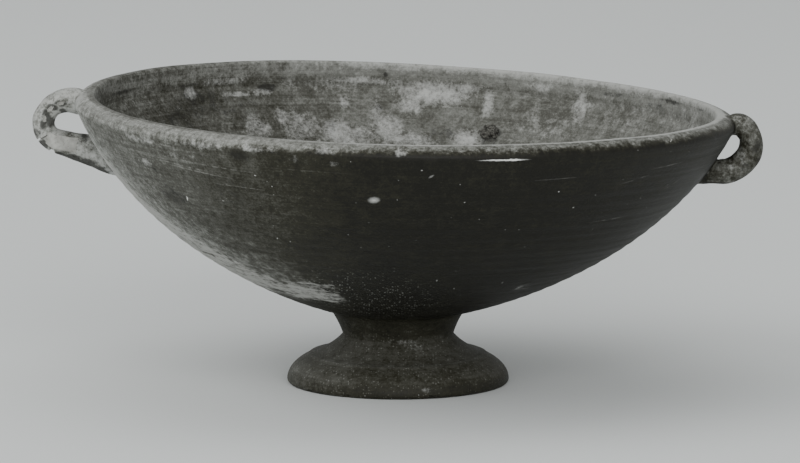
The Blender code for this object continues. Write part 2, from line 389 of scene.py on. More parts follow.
# %% Break the left handle
breaks = [
    breaker("flake", (LEFT_AZIMUTH + 3.0, 124.7, 83.9), (5.7, 2.7, 2.9), -5, rough=0.07, blocky=True),
    breaker("flake_end", (LEFT_AZIMUTH + 2.9, 129.4, 84.6), (2.0, 2.5, 1.4), -16, rough=0.2),
    breaker("notch", (LEFT_AZIMUTH, 127.9, 79.3), (0.9, 9.0, 1.9), 14, rough=0.22, blocky=True),
    breaker("notch_side", (LEFT_AZIMUTH, 129.4, 79.1), (1.1, 9.0, 1.1), 30, rough=0.25, blocky=True),
    breaker("crack_mouth", (LEFT_AZIMUTH, 134.9, 83.0), (3.0, 9.0, 0.5), 33, rough=0.12, blocky=True),
    breaker("crack", (LEFT_AZIMUTH + 2.3, 131.6, 85.2), (2.6, 2.2, 0.26), 33, rough=0.1),
    breaker("pit_1", (LEFT_AZIMUTH + 2.2, 125.3, 98.1), (1.4, 1.1, 0.7), 20, rough=0.3),
    breaker("pit_2", (LEFT_AZIMUTH + 2.1, 129.2, 95.6), (1.5, 1.0, 0.7), 45, rough=0.3),
    breaker("pit_3", (LEFT_AZIMUTH + 2.0, 131.2, 92.3), (0.6, 1.0, 1.3), 10, rough=0.3),
]

# %% Chip the lip and the foot
LIP_CHIPS = (
    (-152.0, 1.0), (-126.5, 0.8), (-111.0, 0.6), (-97.0, 0.8), (-80.0, 0.5), (-38.0, 1.2), (-29.0, 0.7),
    (24.0, 1.3), (63.0, 1.0), (96.0, 0.7), (118.0, 0.9), (149.0, 1.3), (203.0, 0.9),
)
for i, (azimuth, size) in enumerate(LIP_CHIPS):
    place = (azimuth, RIM_RADIUS - 0.2, RIM_HEIGHT - 1.0)
    breaks.append(breaker(f"lip_chip_{i}", place, (size, 1.9 * size, size), rough=0.3))
FOOT_CHIPS = (
    (-117.0, 1.3), (-101.0, 0.9), (-84.0, 0.7), (-72.0, 1.4), (-58.0, 0.9), (-143.0, 1.1), (-162.0, 0.8),
    (20.0, 1.5), (66.3, 1.0), (105.0, 1.2), (150.0, 1.3),
)
for i, (azimuth, size) in enumerate(FOOT_CHIPS):
    place = (azimuth, FOOT_WIDEST[0] + 0.1, 0.15)
    breaks.append(breaker(f"foot_chip_{i}", place, (size, 2.6 * size, size), rough=0.3, slot=THROWN))
print("Breaks:", len(breaks))

# %% Join the handles and take the breaks away
def boolean(target, operation, tool):
    modifier = target.modifiers.new(tool.name, "BOOLEAN")
    modifier.operation = operation
    modifier.solver = "EXACT"
    modifier.object = tool


def settled(target, tools):
    """Works the modifiers into the mesh and removes the tools that they used."""
    bpy.context.view_layer.update()
    graph = bpy.context.evaluated_depsgraph_get()
    mesh = bpy.data.meshes.new_from_object(target.evaluated_get(graph))
    target.modifiers.clear()
    target.data = mesh
    for tool in tools:
        bpy.data.objects.remove(tool)


for handle in (left_handle, right_handle):
    boolean(body, "UNION", handle)
for stone_shape in breaks:
    boolean(body, "DIFFERENCE", stone_shape)
settled(body, [left_handle, right_handle, *breaks])
print("Joined and broken:", len(body.data.polygons), "faces")

# %% [markdown]
# ## Luting the handles on
# A potter wipes slurry round a joint, so it is never a sharp line. The points near the seam between coil
# and wall are found with a k-d tree and smoothed, which pulls a small fillet into the corner.

# %% Smooth the seams
FILLET_REACH = 2.4
FILLET_PASSES = 14


def points_near(seeds, points, reach):
    tree = kdtree.KDTree(len(seeds))
    for i, seed in enumerate(seeds):
        tree.insert(seed.co, i)
    tree.balance()
    return [point for point in points if tree.find(point.co)[2] < reach]


work = bmesh.new()
work.from_mesh(body.data)
seam = [v for v in work.verts if {THROWN, COIL} <= {f.material_index for f in v.link_faces}]
for reach in (FILLET_REACH, FILLET_REACH / 2):
    near_seam = points_near(seam, work.verts, reach * MM)
    for _ in range(FILLET_PASSES):
        bmesh.ops.smooth_vert(work, verts=near_seam, factor=0.5, use_axis_x=True, use_axis_y=True, use_axis_z=True)
print("Seam points smoothed:", len(near_seam))

# %% [markdown]
# ## A worn surface and a tired bowl
# Two things happened to the whole surface. It went uneven, by a quarter of a millimetre over a hand's
# breadth and by less from grain to grain. And while it was damp the bowl leaned over its stem, so the rim
# hangs lower on the right. Before the lean is applied, each point's place on the cup as thrown is kept in an
# attribute: the wheel's streaks and the stains are drawn in those coordinates, so they lean with the clay.
# The frame's box is the cup's true size, so no point may be lifted out of it.

# %% Roughen, remember and sag
RIM_TILT = 0.035
RIM_SHIFT = 2.76
RIM_TWIST = -1.0
TILT_ONSET = 0.3
HAND_UNEVEN = 0.22
WORN_UNEVEN = 0.07
COIL_UNEVEN = 0.20


def unevenness(place, on_coil):
    """How far the surface stands out at a place, in millimetres."""
    slow = noise.noise(place / 34.0)
    quick = noise.fractal(place / 4.5, 1.0, 2.0, 3)
    if on_coil:
        return COIL_UNEVEN * noise.noise(place / 5.0) + WORN_UNEVEN * 1.6 * quick
    return HAND_UNEVEN * slow + WORN_UNEVEN * 0.6 * quick


def sagged(place):
    """Where a place on the cup as thrown came to lie, in millimetres."""
    share = (place.z - STEM_TOP[1]) / (RIM_HEIGHT - STEM_TOP[1])
    if share <= 0:
        return place.copy()
    lean = RIM_TILT * place.x * share**TILT_ONSET
    saddle = RIM_TWIST * 2 * place.x * place.y / RIM_RADIUS**2 * share**TILT_ONSET
    return Vector((place.x + RIM_SHIFT * share, place.y, place.z - lean + saddle))


work.normal_update()
thrown_layer = work.verts.layers.float_vector.new("as_thrown")
inside_layer = work.verts.layers.float.new("inside")
coil_layer = work.verts.layers.float.new("on_coil")
for vert in work.verts:
    place = vert.co / MM
    outwards = Vector((place.x, place.y, 0.0)).normalized()
    coil_faces = sum(face.material_index == COIL for face in vert.link_faces)
    coil_share = coil_faces / max(len(vert.link_faces), 1)
    faces_axis = vert.normal.dot(outwards) < 0 or vert.normal.z > 0.97
    vert[inside_layer] = 1.0 if faces_axis and place.z > STEM_TOP[1] and coil_share == 0 else 0.0
    vert[coil_layer] = coil_share
    vert[thrown_layer] = place
resting = [vert for vert in work.verts if vert.co.z < 0.3 * MM]
still = set(resting)
for vert in work.verts:
    place = vert[thrown_layer]
    if vert not in still:
        place = place + vert.normal * unevenness(place, vert[coil_layer] > 0.5)
    lifted = zip(sagged(place) * MM, cup_low, cup_high)
    vert.co = [min(max(value, low), high) for value, low, high in lifted]
print("Edges without two faces:", sum(len(edge.link_faces) != 2 for edge in work.edges))
work.to_mesh(body.data)
work.free()
body.data.shade_smooth()
body.data.set_sharp_from_angle(angle=math.radians(48))
print("Finished body:", len(body.data.polygons), "faces")

# %% [markdown]
# ## Where the stains are
# Stains are listed as the real cup has them: an angle round the axis, a height, half sizes across and up in
# millimetres, and a strength. The front of the cup is at minus 90 degrees. They are painted into the
# points of the mesh as soft blobs, because a blob follows the clay wherever it bends, and the materials give
# them their ragged edges.

# %% Lime inside and outside
LIME_INSIDE = (
    (84.0, 92.6, 15.0, 4.6, 0.80),
    (79.0, 94.6, 10.0, 2.6, 0.70),
    (88.5, 87.5, 6.0, 3.4, 0.75),
    (73.5, 90.5, 2.4, 6.0, 0.75),
    (97.5, 96.0, 14.0, 1.5, 0.70),
    (63.1, 98.0, 6.0, 2.0, 0.65),
    (112.0, 79.0, 9.0, 6.0, 0.64),
    (104.7, 78.0, 7.0, 5.0, 0.70),
    (100.5, 76.5, 9.0, 3.6, 0.70),
    (93.5, 79.5, 7.0, 6.0, 0.66),
    (89.0, 75.5, 12.0, 3.4, 0.72),
    (76.0, 77.4, 6.0, 3.8, 0.80),
    (102.1, 87.9, 2.4, 2.2, 0.80),
    (95.5, 84.5, 3.0, 7.0, 0.60),
    (115.9, 83.0, 3.6, 3.2, 0.75),
    (122.0, 80.0, 6.0, 4.0, 0.70),
    (119.0, 91.5, 5.0, 1.4, 0.70),
    (125.0, 91.2, 8.0, 1.0, 0.75),
    (136.0, 92.7, 3.4, 2.4, 0.75),
    (128.0, 96.0, 14.0, 1.6, 0.55),
    (53.5, 92.6, 4.0, 7.0, 0.72),
    (60.0, 86.0, 20.0, 10.0, 0.42),
    (40.0, 92.0, 26.0, 10.0, 0.40),
    (20.0, 94.0, 22.0, 8.0, 0.42),
    (106.0, 94.0, 18.0, 3.0, 0.46),
    (-60.0, 70.0, 24.0, 12.0, 0.58),
    (-120.0, 62.0, 20.0, 14.0, 0.52),
    (10.0, 50.0, 24.0, 10.0, 0.56),
    (200.0, 55.0, 18.0, 14.0, 0.55),
    (90.0, 40.0, 30.0, 8.0, 0.50),
)
LIME_OUTSIDE = (
    (-91.0, 100.8, 2.2, 1.6, 0.9),
    (-104.2, 100.6, 3.6, 1.4, 0.8),
    (-116.0, 99.4, 8.0, 1.4, 0.62),
    (-128.0, 98.6, 12.0, 1.8, 0.62),
    (-142.0, 97.0, 14.0, 1.6, 0.62),
    (-134.0, 93.4, 12.0, 1.4, 0.50),
    (-108.9, 96.6, 2.2, 2.0, 0.62),
    (-47.5, 42.8, 6.0, 2.4, 0.48),
    (-143.3, 88.2, 5.0, 1.8, 0.66),
    (-102.0, 96.2, 2.0, 1.2, 0.60),
    (60.0, 60.0, 24.0, 14.0, 0.56),
    (140.0, 80.0, 20.0, 12.0, 0.54),
    (20.0, 78.0, 16.0, 9.0, 0.50),
    (-89.0, 18.2, 6.0, 1.4, 0.50),
    (-74.0, 16.2, 5.0, 1.2, 0.48),
    (-75.0, 3.6, 2.6, 1.2, 0.50),
    (-100.0, 22.0, 10.0, 0.8, 0.40),
)

# %% Soot, dark soil, and painted shade along the inner bead
DARK_INSIDE = (
    (117.5, 93.2, 4.4, 1.7, 0.95),
    (95.2, 86.6, 1.6, 1.4, 0.95),
    (98.1, 93.9, 1.2, 1.1, 0.9),
    (108.4, 91.8, 1.3, 1.1, 0.8),
    (93.7, 98.4, 1.4, 1.2, 0.8),
    (134.2, 89.8, 15.0, 6.0, 0.62),
    (141.7, 84.7, 14.0, 7.0, 0.55),
    (125.0, 86.0, 12.0, 5.0, 0.50),
    (81.1, 78.4, 11.0, 3.6, 0.55),
    (105.5, 79.4, 3.5, 3.2, 0.75),
    (71.3, 79.2, 4.6, 3.6, 0.85),
    # The seven long, thin lines below, from 95 to 101 mm up, are painted shade under the overhang of the inner bead.
    (28.5, 100.4, 9.0, 1.2, 0.75),
    (15.9, 100.6, 7.0, 1.2, 0.65),
    (46.0, 98.8, 9.0, 1.3, 0.62),
    (33.5, 97.4, 9.0, 2.0, 0.55),
    (158.1, 97.0, 16.0, 1.0, 0.70),
    (133.0, 95.5, 26.0, 0.9, 0.60),
    (110.5, 96.6, 22.0, 0.9, 0.45),
    (-30.0, 60.0, 18.0, 10.0, 0.52),
    (230.0, 60.0, 22.0, 12.0, 0.52),
)
DARK_OUTSIDE = (
    (-119.2, 96.6, 4.6, 2.8, 0.85),
    (-141.7, 86.1, 1.6, 1.5, 0.9),
    (-140.0, 76.4, 8.0, 6.0, 0.60),
    (-101.5, 97.6, 1.5, 1.2, 0.85),
    (-88.0, 98.8, 40.0, 1.4, 0.62),
    (-50.0, 99.2, 50.0, 1.6, 0.60),
    (-112.0, 98.6, 14.0, 1.0, 0.58),
    (-150.8, 47.2, 4.0, 1.1, 0.9),
    (-113.0, 39.6, 3.4, 0.9, 0.9),
    (-158.5, 68.5, 5.0, 2.0, 0.75),
    (-152.0, 59.0, 8.0, 1.6, 0.65),
    (-123.0, 82.0, 20.0, 12.0, 0.42),
    (100.0, 70.0, 60.0, 30.0, 0.42),
    (0.0, 60.0, 30.0, 14.0, 0.42),
)

# %% Handles, by side, radius and height
HANDLE_WORN = (
    (-1, 121.0, 101.0, 7.0, 4.0, 0.42),
    (-1, 127.5, 99.5, 5.0, 3.4, 0.40),
    (-1, 132.0, 95.8, 3.0, 4.4, 0.40),
    (-1, 134.2, 90.0, 2.0, 5.0, 0.30),
    (-1, 119.0, 96.0, 7.0, 5.0, 0.6),
    (-1, 126.8, 91.0, 3.0, 5.0, 0.55),
    (-1, 115.6, 82.0, 4.0, 4.0, 0.58),
    (-1, 111.0, 78.0, 4.5, 3.0, 0.45),
    (-1, 131.0, 87.5, 4.0, 2.6, 0.4),
    (1, 125.6, 99.6, 3.4, 3.0, 0.9),
    (1, 121.0, 100.6, 4.0, 2.0, 0.7),
    (1, 127.5, 94.0, 3.0, 5.0, 0.64),
    (1, 121.5, 95.0, 3.0, 4.0, 0.4),
    (1, 121.0, 83.6, 6.0, 2.6, 0.8),
    (1, 117.0, 80.6, 5.0, 3.0, 0.7),
    (1, 122.7, 88.6, 2.6, 3.6, 0.72),
    (1, 115.6, 84.0, 4.0, 3.0, 0.55),
)
HANDLE_LIME_AND_SEAM_HIGHLIGHT = (
    # The first six, along the seam where the left coil's lower root meets the wall, are a painted highlight on that
    # crease, not lime.
    (-1, 112.4, 79.7, 1.3, 0.8, 0.9),
    (-1, 110.8, 78.1, 1.3, 0.8, 0.9),
    (-1, 109.2, 76.4, 1.3, 0.8, 0.9),
    (-1, 107.6, 74.7, 1.3, 0.8, 0.8),
    (-1, 106.0, 73.0, 1.3, 0.8, 0.8),
    (-1, 104.4, 71.3, 1.3, 0.8, 0.7),
    (1, 112.4, 86.5, 1.0, 1.3, 0.7),
    (1, 110.6, 83.0, 1.0, 1.6, 0.7),
    (1, 118.2, 84.6, 2.2, 1.1, 0.6),
    (1, 123.0, 87.6, 1.0, 2.2, 0.6),
)
HANDLE_DARK = (
    (-1, 125.3, 98.0, 2.4, 1.3, 1.0),
    (-1, 128.5, 96.2, 2.4, 1.3, 1.0),
    (-1, 130.7, 93.4, 1.5, 2.4, 1.0),
    (-1, 131.4, 90.0, 1.4, 2.6, 0.8),
    (-1, 128.9, 91.0, 1.3, 2.6, 0.9),
    (-1, 124.6, 95.0, 1.5, 1.5, 0.8),
    (-1, 134.0, 86.6, 2.0, 2.4, 0.6),
    (-1, 131.6, 82.6, 1.8, 2.0, 1.0),
    (-1, 125.6, 79.0, 2.6, 1.5, 1.0),
    (-1, 121.0, 78.2, 4.6, 1.6, 1.0),
    (-1, 116.0, 76.8, 4.6, 1.8, 1.0),
    (-1, 110.6, 74.0, 5.0, 2.4, 0.9),
    (-1, 116.6, 85.6, 1.6, 2.0, 0.8),
    (1, 128.0, 92.0, 2.2, 3.4, 0.7),
    (1, 124.0, 84.8, 2.6, 2.0, 0.6),
)


# %% Blobs on the turned clay and on the coils
def falloff(across, up, strength):
    return strength * max(0.0, 1.0 - (across * across + up * up) / 2.25)


def turned_stain(stains, azimuth, height, radius):
    """The strongest stain at a place of the turned clay: full in its middle, nothing past its half sizes."""
    most = 0.0
    for stain_azimuth, stain_height, half_width, half_height, strength in stains:
        up = (height - stain_height) / half_height
        if abs(up) < 1.5:
            turn = (azimuth - stain_azimuth + 180) % 360 - 180
            most = max(most, falloff(math.radians(turn) * radius / half_width, up, strength))
    return most


def coil_stain(stains, side, height, radius):
    most = 0.0
    for stain_side, stain_radius, stain_height, half_width, half_height, strength in stains:
        if stain_side * side > 0:
            across, up = (radius - stain_radius) / half_width, (height - stain_height) / half_height
            most = max(most, falloff(across, up, strength))
    return most


def painted(mesh, name, value_at):
    """Writes a value for every point of the mesh, worked out from where it was on the cup as thrown."""
    mesh.attributes.new(name, "FLOAT", "POINT")
    layers = [mesh.attributes[layer_name].data for layer_name in (name, "as_thrown", "inside", "on_coil")]
    for target, thrown, inside, coil in zip(*layers):
        x, y, z = thrown.vector
        place = (math.degrees(math.atan2(y, x)), z, math.hypot(x, y))
        target.value = value_at(*place, inside.value > 0.5, math.copysign(coil.value, x))


# %% Six kinds of wear and stain
SILT_END_AZIMUTH = -107.0


def lime_and_seam_highlight_at(azimuth, height, radius, is_inside, coil):
    on_turned = turned_stain(LIME_INSIDE if is_inside else LIME_OUTSIDE, azimuth, height, radius)
    near_handle = abs(math.cos(math.radians(azimuth))) > 0.99 and not is_inside
    return max(on_turned, coil_stain(HANDLE_LIME_AND_SEAM_HIGHLIGHT, coil, height, radius) if near_handle else 0.0)


def dark_at(azimuth, height, radius, is_inside, coil):
    on_turned = turned_stain(DARK_INSIDE if is_inside else DARK_OUTSIDE, azimuth, height, radius)
    return max(on_turned * (1.0 - abs(coil)), coil_stain(HANDLE_DARK, coil, height, radius) * abs(coil))


def silt_level(azimuth, height):
    """How far a place lies below the top of the silt, in millimetres, and how far past its end, in degrees."""
    past_end = -((azimuth - SILT_END_AZIMUTH + 360) % 360 - 360)
    top = 46.5 + 48.0 * min(max((past_end - 22.0) / 42.0, 0.0), 1.0) ** 1.35
    return top - height, past_end


def rising(value, low, high):
    return min(max((value - low) / (high - low), 0.0), 1.0)


def worn_at(azimuth, height, radius, is_inside, coil):
    """Where hands, cloths and soil wore the slip thin: the coils, and the wall above the silt."""
    coil_wear = (0.45 + 0.60 * coil_stain(HANDLE_WORN, coil, height, radius)) * abs(coil)
    below_top, past_end = silt_level(azimuth, height)
    over_silt = 0.55 * rising(below_top, -26.0, 0.0) * rising(past_end, -4.0, 18.0) * rising(height, 33.0, 37.0)
    return max(coil_wear, 0.0 if is_inside else over_silt * rising(-past_end, -120.0, -70.0))


def dust_and_painted_light_at(azimuth, height, radius, is_inside, coil):
    """Dust ground into the foot, partly painted light where the bowl shades it, and a painted highlight on the step's
    arris.
    """
    if is_inside or abs(coil) > 0.5:
        return 0.0
    foot = 0.20 + 0.26 * rising(height, 2.5, 6.0) + 0.08 * rising(height, 10.0, 12.0)
    foot -= 0.26 * rising(height, 16.5, 20.0)
    # Painted highlight: a pale line along the step's arris, where the edge catches the light.
    arris = 0.62 * rising(-abs(height - 10.8), -0.9, -0.2) if radius < 34.5 and height < 13.0 else 0.0
    return max(foot * rising(-height, -29.0, -26.0), arris)


def grit_at(azimuth, height, radius, is_inside, coil):
    """Where coarse grit shows in the surface: the foot, and a patch low on the front of the bowl."""
    if is_inside or abs(coil) > 0.5:
        return 0.0
    front = turned_stain(((-101.0, 40.0, 24.0, 11.0, 1.2),), azimuth, height, radius)
    return max(0.12 + 0.16 * rising(-height, -22.0, -18.0), min(front, 0.9) * rising(height, 24.0, 28.0))


def silt_and_painted_reflection_at(azimuth, height, radius, is_inside, coil):
    """The pale silt low on the left, where the cup lay half buried on its side; near the left outline it is partly a
    painted reflection.
    """
    below_top, past_end = silt_level(azimuth, height)
    if is_inside or abs(coil) > 0.5:
        return 0.0
    # Painted reflection: the silt is made stronger towards the left side, where it also stands in for a grazing
    # reflection.
    most = 0.70 + 0.22 * rising(past_end, 30.0, 55.0)
    level = min(most, 0.24 + below_top / 9.0, past_end / 12.0, (110.0 - past_end) / 40.0)
    return max(0.0, level) * rising(height, 34.0, 38.0)


for stain_name, stain_at in (
    ("lime", lime_and_seam_highlight_at), ("dark", dark_at), ("worn", worn_at), ("dust", dust_and_painted_light_at), ("grit", grit_at), ("silt", silt_and_painted_reflection_at)
):
    painted(body.data, stain_name, stain_at)
print("Painted", len(body.data.vertices), "points")

# %% [markdown]
# ## Tools for materials
# A material is a graph of nodes. One function adds a node with its settings and links, and everything
# else is built from it. Colours are given as the hex values that a colour chart shows, and turned into the
# linear light that the renderer works in by one function.


# %% One function adds a node
def linear(hex_colour):
    channels = [int(hex_colour[i : i + 2], 16) / 255 for i in (1, 3, 5)]
    return (*[c / 12.92 if c <= 0.04045 else ((c + 0.055) / 1.055) ** 2.4 for c in channels], 1.0)


def add(tree, kind, inputs, output=0, **settings):
    """Adds a node with its settings. An input is a value or another node's output. Gives back one output."""
    node = tree.nodes.new("ShaderNode" + kind)
    for key, value in settings.items():
        setattr(node, key, value)
    for key, value in inputs.items():
        if isinstance(value, bpy.types.NodeSocket):
            tree.links.new(value, node.inputs[key])
        else:
            node.inputs[key].default_value = value
    return node.outputs[output]


def new_material(name):
    material = bpy.data.materials.new(name)
    material.use_nodes = True
    return material, material.node_tree, material.node_tree.nodes["Principled BSDF"]


# %% Sums, ragged edges and coats
def weighted(tree, start, parts):
    """Adds up patterns, each less its middle value and times its weight."""
    total = start
    for pattern, middle, weight in parts:
        part = add(tree, "Math", {0: pattern, 1: middle}, operation="SUBTRACT")
        total = add(tree, "Math", {0: part, 1: weight, 2: total}, operation="MULTIPLY_ADD")
    return total


def patchy(tree, mask, pattern, bite, low, high):
    """Turns a soft painted blob into a ragged stain, where a pattern eats into its edge."""
    eaten = weighted(tree, mask, [(pattern, 0.5, bite)])
    return add(tree, "MapRange", {0: eaten, 1: low, 2: high}, interpolation_type="SMOOTHSTEP")


def coated(tree, colour, coats):
    """Lays coats over a colour: each covers where its own pattern is, at most by its strength."""
    for share, strength, hex_colour in coats:
        cover = add(tree, "Math", {0: share, 1: strength}, operation="MULTIPLY")
        colour = add(tree, "Mix", {0: cover, 6: colour, 7: linear(hex_colour)}, output=2, data_type="RGBA")
    return colour


# %% [markdown]
# ## Patterns of a thrown and buried pot
# Every pattern reads the place on the cup as thrown, in millimetres, so a scale of 1/9 is a cloud 9 mm
# wide. Streaks need more thought: they run round the pot, so they are long round the axis and short up the
# wall. A four-dimensional noise does this without a seam. Two of its directions carry the angle, as a
# cosine and a sine, and the other two carry the height and the radius in small steps.


# %% Streaks and specks
def streaks(tree, p, across_mm, length_share, seed):
    """Noise drawn out round the axis: each streak is so many millimetres across."""
    turned = []
    for side in (p.x, p.y):
        share = add(tree, "Math", {0: side, 1: p.radius}, operation="DIVIDE")
        turned.append(add(tree, "Math", {0: share, 1: length_share}, operation="MULTIPLY"))
    up = add(tree, "Math", {0: p.z, 1: 1 / across_mm}, operation="MULTIPLY")
    out = add(tree, "Math", {0: p.radius, 1: 1 / across_mm, 2: seed}, operation="MULTIPLY_ADD")
    vector = add(tree, "CombineXYZ", {0: turned[0], 1: turned[1], 2: up})
    inputs = {"Vector": vector, "W": out, "Scale": 1.0, "Detail": 3.0, "Roughness": 0.62}
    return add(tree, "TexNoise", inputs, noise_dimensions="4D")


def specks(tree, place, spacing_mm, size, share):
    """Small round specks: cells of a Voronoi pattern, of which only a share are filled."""
    cells = add(tree, "TexVoronoi", {"Vector": place, "Scale": 1 / spacing_mm}, feature="F1")
    chosen = add(tree, "SeparateXYZ", {0: cells.node.outputs[1]})
    filled = add(tree, "Math", {0: chosen, 1: share}, operation="LESS_THAN")
    inputs = {0: cells, 1: size * 0.5, 2: size, 3: 1.0, 4: 0.0}
    round_speck = add(tree, "MapRange", inputs, interpolation_type="SMOOTHSTEP")
    return add(tree, "Math", {0: filled, 1: round_speck}, operation="MULTIPLY")


# %% Small marks drawn on the wall
# Angle, height, half length and half width in millimetres, slope in degrees, and strength.
PALE_MARKS = (
    (-73.2, 98.5, 7.6, 0.32, 0, 0.85),
    (-71.6, 98.5, 3.4, 0.42, 0, 1.0),
    (-95.2, 82.9, 2.0, 1.3, 10, 0.36),
    (-95.2, 82.9, 1.0, 0.7, 10, 0.50),
    (-135.8, 76.8, 0.3, 1.1, -20, 0.95),
    (-116.8, 89.7, 0.4, 0.25, 0, 0.5),
    (-126.0, 78.3, 0.3, 0.3, 0, 0.45),
    (-114.0, 86.0, 0.28, 0.25, 0, 0.4),
    (-117.3, 64.9, 0.25, 0.3, 0, 0.5),
    (-114.5, 64.1, 0.25, 0.25, 0, 0.45),
    (-85.3, 92.4, 1.1, 0.35, 35, 0.20),
    (-87.0, 94.7, 0.3, 0.25, 0, 0.35),
    (-61.0, 85.5, 0.28, 0.25, 0, 0.5),
    (-56.1, 78.7, 0.3, 0.28, 0, 0.5),
    (-78.7, 82.4, 0.25, 0.25, 0, 0.35),
    (-79.9, 49.4, 0.3, 0.4, 0, 0.55),
    (-73.6, 45.3, 0.28, 0.35, 0, 0.45),
    (-59.2, 47.1, 0.3, 0.4, 0, 0.45),
)
FAINT_MARKS = (
    (-128.5, 88.6, 15.0, 0.30, -5, 0.8),
    (-132.0, 90.0, 12.0, 0.24, -5, 0.7),
    (-138.5, 97.0, 11.0, 0.5, -2, 1.0),
    (-126.0, 91.6, 20.0, 0.28, -3, 0.6),
    (-120.0, 84.6, 12.0, 0.22, -2, 0.6),
    (-108.0, 93.0, 16.0, 0.22, -1, 0.2),
    (-44.5, 72.2, 9.0, 0.24, 3, 0.4),
    (-36.0, 92.0, 9.0, 0.22, 4, 0.5),
    (-44.0, 88.0, 7.0, 0.2, 12, 0.4),
    (-62.0, 90.6, 10.0, 0.2, 2, 0.3),
    (-30.0, 84.0, 6.0, 0.2, 24, 0.4),
    (60.0, 86.0, 14.0, 0.3, 2, 0.6),
    (120.0, 80.0, 16.0, 0.3, -2, 0.6),
)
SKIN_RADIUS = 100.0


def marks(tree, skin, listed):
    """The strongest of a list of small ellipses, each measured by a Mapping node of its own."""
    total = 0.0
    for azimuth, height, half_length, half_width, slope, strength in listed:
        inputs = {
            "Vector": skin,
            "Location": (math.radians(azimuth) * SKIN_RADIUS, height, 0.0),
            "Rotation": (0.0, 0.0, math.radians(slope)),
            "Scale": (half_length, half_width, 1.0),
        }
        measured = add(tree, "Mapping", inputs, vector_type="TEXTURE")
        far = add(tree, "VectorMath", {0: measured}, output=1, operation="LENGTH")
        inputs = {0: far, 1: 0.4, 2: 1.2, 3: strength, 4: 0.0}
        near = add(tree, "MapRange", inputs, interpolation_type="SMOOTHSTEP")
        total = add(tree, "Math", {0: near, 1: total}, operation="MAXIMUM")
    return total


# %% [markdown]
# ## What the slip reads
# The patterns are gathered once, by name: the stains painted above, the place on the cup as thrown, and
# noises from a cloud as wide as a palm down to grit. The real grit is a quarter of a millimetre, too fine to
# show at this distance, so it is drawn about a millimetre wide. The skin is the wall unrolled
# flat, a little shaken, so that the marks are not perfect ellipses.


# %% Gather the patterns
def slip_patterns(tree):
    names = ("lime", "dark", "worn", "dust", "grit", "silt", "inside", "on_coil")
    p = SimpleNamespace(**{name: add(tree, "Attribute", {}, output=2, attribute_name=name) for name in names})
    p.place = add(tree, "Attribute", {}, output=1, attribute_name="as_thrown")
    p.x = add(tree, "SeparateXYZ", {0: p.place})
    p.y, p.z = p.x.node.outputs[1], p.x.node.outputs[2]
    flat = add(tree, "CombineXYZ", {0: p.x, 1: p.y})
    from_axis = add(tree, "VectorMath", {0: flat}, output=1, operation="LENGTH")
    p.radius = add(tree, "Math", {0: from_axis, 1: 1.0}, operation="MAXIMUM")
    for name, size_mm, detail, rough, distortion in (
        ("broad", 34.0, 3.0, 0.60, 0.0), ("cloudy", 8.0, 6.0, 0.68, 0.5), ("mottle", 3.0, 6.0, 0.72, 0.0),
        ("fine", 1.0, 4.0, 0.78, 0.0),
    ):
        inputs = {"Vector": p.place, "Scale": 1 / size_mm, "Detail": detail, "Roughness": rough, "Distortion": distortion}
        setattr(p, name, add(tree, "TexNoise", inputs))
    p.wide_streaks = streaks(tree, p, 1.6, 1.6, seed=3.0)
    p.thin_streaks = streaks(tree, p, 0.5, 2.6, seed=11.0)
    p.grains = specks(tree, p.place, 0.9, 0.40, 0.30)
    p.dark_specks = specks(tree, p.place, 1.9, 0.16, 0.14)
    p.pale_specks = specks(tree, p.place, 2.4, 0.10, 0.10)
    p.outside = add(tree, "Math", {0: 1.0, 1: p.inside}, operation="SUBTRACT")
    for name, start, end in (("left", 10.0, -118.0), ("right", 60.0, 125.0), ("not_left", -95.0, 10.0)):
        setattr(p, name, add(tree, "MapRange", {0: p.x, 1: start, 2: end}, interpolation_type="SMOOTHSTEP"))
    return p


def unrolled_skin(tree, p):
    azimuth = add(tree, "Math", {0: p.y, 1: p.x}, operation="ARCTAN2")
    round_mm = add(tree, "Math", {0: azimuth, 1: SKIN_RADIUS}, operation="MULTIPLY")
    skin = add(tree, "CombineXYZ", {0: round_mm, 1: p.z})
    shake = add(tree, "TexNoise", {"Vector": p.place, "Scale": 0.9}, output=1)
    return add(tree, "VectorMath", {0: shake, 1: (0.7, 0.5, 0.0), 2: skin}, operation="MULTIPLY_ADD")


# %% [markdown]
# ## How far the slip is worn, and where light is painted
# The dark coat is a fine iron-rich slip, rubbed a little on the wheel and fired without air. It is nearly
# black where it is thick. Where it wore thin the grey clay shows through, in clouds, in streaks and as fine
# grain. The outside is also made lighter on the left, partly mottled wear and partly painted light from
# that side. The inside is made lighter in the middle and on the right, which face that light, and darker on
# the left: painted light and shade. So one number, the wear with the painted light, is added up from all
# those patterns. The lip is rubbed pale too, in a band that is broad on the left and ragged below.


